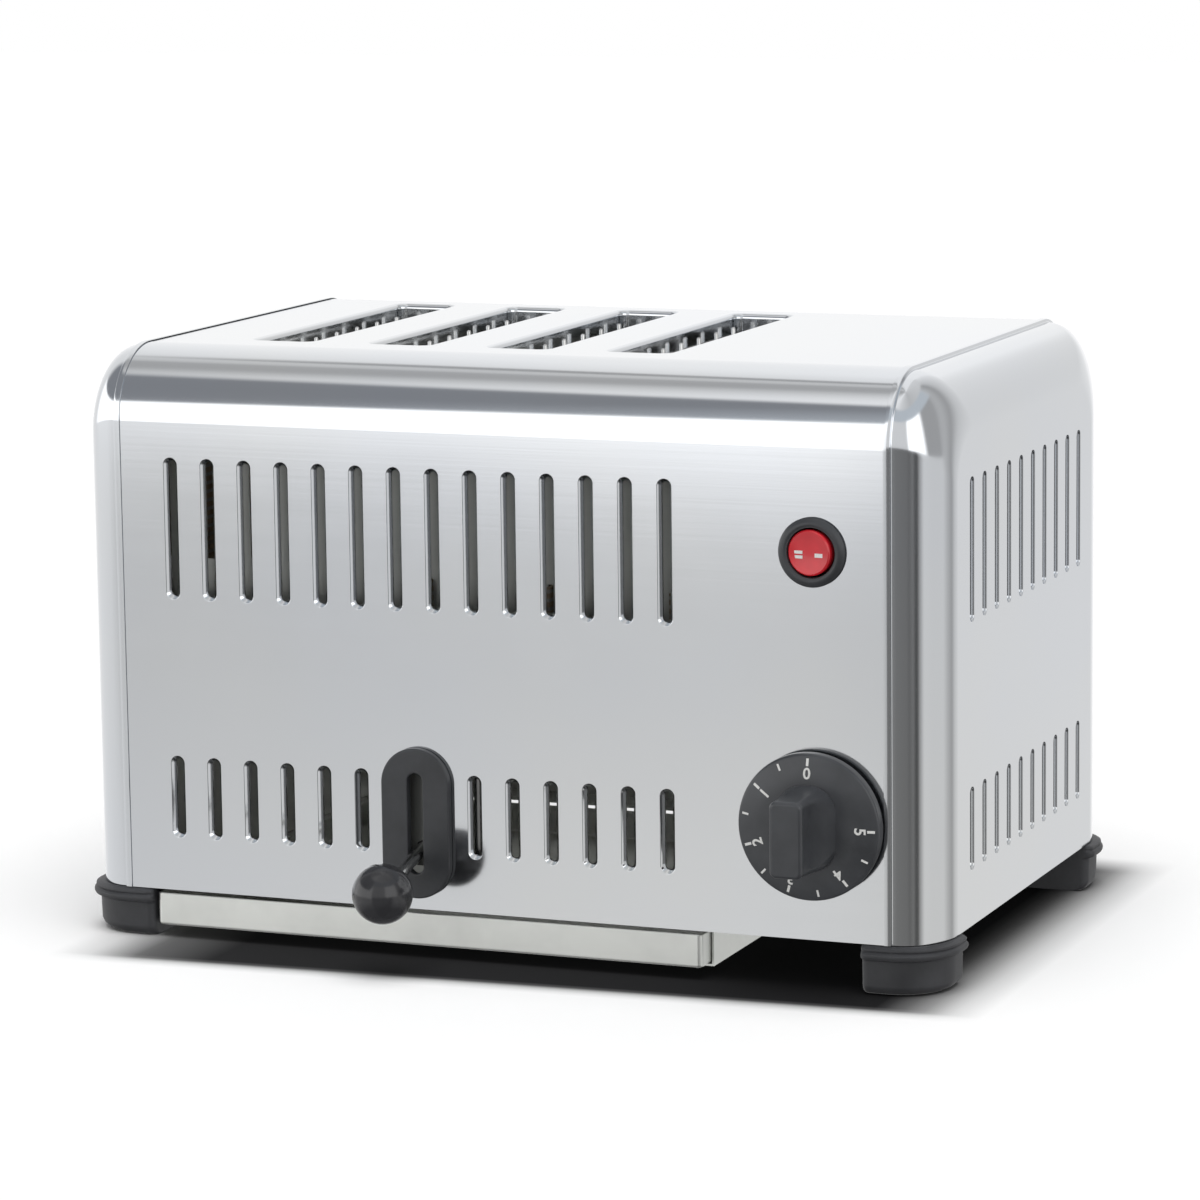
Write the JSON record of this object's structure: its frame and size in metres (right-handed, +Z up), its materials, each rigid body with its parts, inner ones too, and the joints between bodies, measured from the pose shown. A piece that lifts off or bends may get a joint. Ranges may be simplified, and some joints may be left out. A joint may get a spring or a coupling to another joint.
{
  "type": "commercial slot toaster",
  "caption": "Polished steel catering toaster with long bread slots, slotted cooling panels, a ball-ended lift lever, a dial timer, a rocker switch and a pull-out crumb tray.",
  "frame": {"origin": "on the table, under the middle of the whole toaster's box", "axes": "+X to the right along the front panel, +Y from the front to the rear, +Z up"},
  "size_m": [0.3654, 0.2876, 0.2372],
  "materials": {
    "polished_steel": "polished stainless steel",
    "galvanised_steel": "dull bright sheet steel",
    "plated_wire": "plated",
    "black_plastic": "satin",
    "gloss_black": "gloss",
    "red_plastic": "gloss",
    "grey_rubber": "matte",
    "mica": "matte",
    "white_ceramic": "matte",
    "wire_cover": "matte",
    "white_print": "printed ink"
  },
  "bodies": {
    "housing": {"outer_wrap": "polished_steel", "end_cap_left": "polished_steel", "end_cap_right": "polished_steel", "base_plate": "galvanised_steel", "tray_runner_left": "galvanised_steel", "tray_runner_right": "galvanised_steel", "left_inner_wall": "galvanised_steel", "control_partition": "galvanised_steel", "heat_shield_front": "galvanised_steel", "heat_shield_rear": "galvanised_steel", "foot_screw_1": "galvanised_steel", "foot_screw_2": "galvanised_steel", "foot_screw_3": "galvanised_steel", "foot_screw_4": "galvanised_steel", "base_screw_1": "galvanised_steel", "base_screw_2": "galvanised_steel", "runner_screw_left": "galvanised_steel", "runner_screw_right": "galvanised_steel", "wire_guard_1_left": "plated_wire", "wire_guard_1_right": "plated_wire", "wire_guard_2_left": "plated_wire", "wire_guard_2_right": "plated_wire", "wire_guard_3_left": "plated_wire", "wire_guard_3_right": "plated_wire", "wire_guard_4_left": "plated_wire", "wire_guard_4_right": "plated_wire", "guide_rod_left": "plated_wire", "guide_rod_right": "plated_wire", "lever_plate": "black_plastic", "timer_case": "black_plastic", "switch_bezel": "black_plastic", "cord_gland": "black_plastic", "gland_nut": "black_plastic", "foot_front_left": "grey_rubber", "foot_front_right": "grey_rubber", "foot_rear_left": "grey_rubber", "foot_rear_right": "grey_rubber", "heating_element_1": "mica", "heating_element_2": "mica", "heating_element_3": "mica", "heating_element_4": "mica", "heating_element_5": "mica", "terminal_block": "white_ceramic", "lead_switch": "wire_cover", "lead_timer": "wire_cover", "lead_elements": "wire_cover"},
    "lift_carriage": {"lift_crossbar_front": "galvanised_steel", "lift_crossbar_rear": "galvanised_steel", "lever_rod": "plated_wire", "ball_knob": "gloss_black", "lever_nut": "galvanised_steel", "bread_rest_1": "galvanised_steel", "bread_rest_2": "galvanised_steel", "bread_rest_3": "galvanised_steel", "bread_rest_4": "galvanised_steel"},
    "timer_dial": {"timer_knob": "black_plastic", "timer_shaft": "plated_wire"},
    "rocker": {"switch_rocker": "red_plastic"},
    "tray": {"crumb_tray": "galvanised_steel"}
  },
  "joints": [
    {"name": "lift_slide", "type": "slide", "parent": "housing", "child": "lift_carriage", "axis": [0, 0, 1], "range_m": [0, 0.028]},
    {"name": "timer_turn", "type": "hinge", "parent": "housing", "child": "timer_dial", "pos_m": [0.1307, -0.09717, 0.0644], "axis": [0, 1, 0], "range_deg": [0, 270]},
    {"name": "switch_rock", "type": "hinge", "parent": "housing", "child": "rocker", "pos_m": [0.1305, -0.09367, 0.168], "axis": [0, 0, 1], "range_deg": [0, 12]},
    {"name": "tray_slide", "type": "slide", "parent": "housing", "child": "tray", "axis": [0, -1, 0], "range_m": [0, 0.18]}
  ]
}
